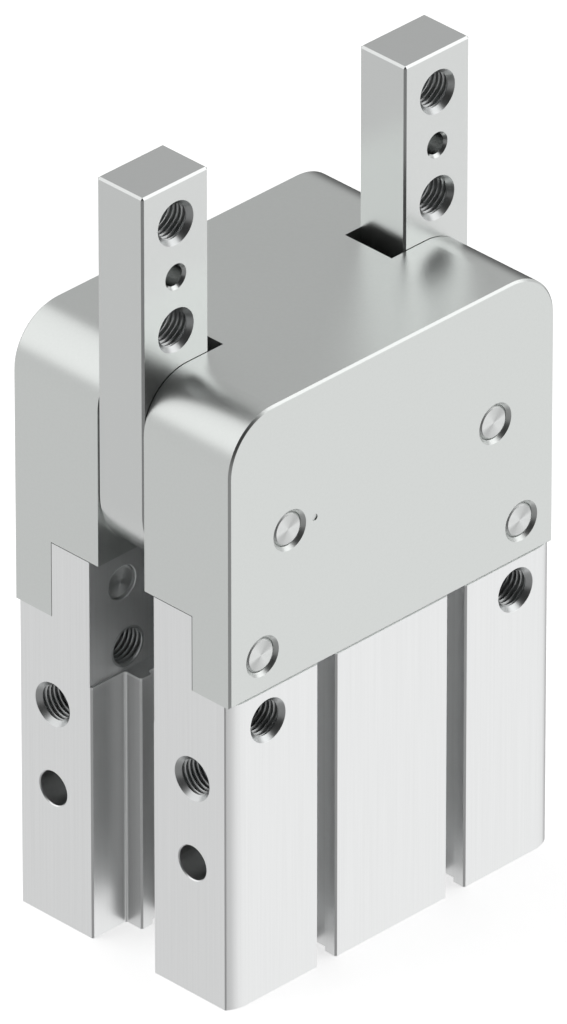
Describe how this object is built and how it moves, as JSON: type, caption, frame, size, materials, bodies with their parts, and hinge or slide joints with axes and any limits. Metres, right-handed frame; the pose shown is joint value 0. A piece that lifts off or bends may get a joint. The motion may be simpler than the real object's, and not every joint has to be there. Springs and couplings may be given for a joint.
{
  "type": "angular gripper",
  "caption": "Pneumatic angular gripper: a slim block with a rounded bearing cover and upright jaws that swing apart.",
  "frame": {"origin": "middle of the bottom face, on the piston's axis", "axes": "+Z from the bottom face to the jaw tips, X from jaw to jaw, +Y to the face with the air ports"},
  "size_m": [0.06, 0.04, 0.117],
  "materials": {
    "housing_aluminium": "extruded and clear anodised, satin",
    "cover_aluminium": "milled and clear anodised, fine satin",
    "pin_steel": "ground, ends faced",
    "jaw_steel": "ground and nickel plated, satin",
    "bush_bronze": "sintered bronze",
    "driver_steel": "hardened steel",
    "rod_steel": "hard chromed and ground",
    "piston_aluminium": "turned",
    "magnet": "plastic bonded magnet",
    "seal_rubber": "nitrile rubber",
    "bumper_rubber": "polyurethane",
    "screw_steel": "zinc plated",
    "cap_aluminium": "turned and anodised",
    "spring_steel": "blackened spring steel"
  },
  "bodies": {
    "housing": {"housing": "housing_aluminium", "bearing_cover": "cover_aluminium", "cover_dowels": "pin_steel", "left_pivot_pin": "pin_steel", "right_pivot_pin": "pin_steel", "rod_bush": "bush_bronze", "rod_seal": "seal_rubber", "upper_bumper": "bumper_rubber", "lower_bumper": "bumper_rubber", "end_cap": "cap_aluminium", "end_cap_seal": "seal_rubber", "retaining_ring": "spring_steel"},
    "piston_unit": {"driver": "driver_steel", "left_follower_pin": "pin_steel", "right_follower_pin": "pin_steel", "driver_lock_pin": "pin_steel", "piston_rod": "rod_steel", "piston": "piston_aluminium", "piston_clamp_disc": "piston_aluminium", "piston_magnet": "magnet", "piston_seal": "seal_rubber", "piston_screw": "screw_steel"},
    "left_jaw": {"left_jaw": "jaw_steel", "left_jaw_bush": "bush_bronze"},
    "right_jaw": {"right_jaw": "jaw_steel", "right_jaw_bush": "bush_bronze"}
  },
  "joints": [
    {"name": "piston_stroke", "type": "slide", "parent": "housing", "child": "piston_unit", "axis": [0, 0, 1], "range_m": [0, 0.009]},
    {"name": "left_jaw_pivot", "type": "hinge", "parent": "housing", "child": "left_jaw", "pos_m": [-0.019, 0, 0.0694], "axis": [0, -1, 0], "range_deg": [0, 20]},
    {"name": "right_jaw_pivot", "type": "hinge", "parent": "housing", "child": "right_jaw", "pos_m": [0.019, 0, 0.0694], "axis": [0, 1, 0], "range_deg": [0, 20]}
  ],
  "couplings": [
    {"joint": "left_jaw_pivot", "follows": "piston_stroke", "rad_per_m": 38.785},
    {"joint": "right_jaw_pivot", "follows": "piston_stroke", "rad_per_m": 38.785}
  ]
}
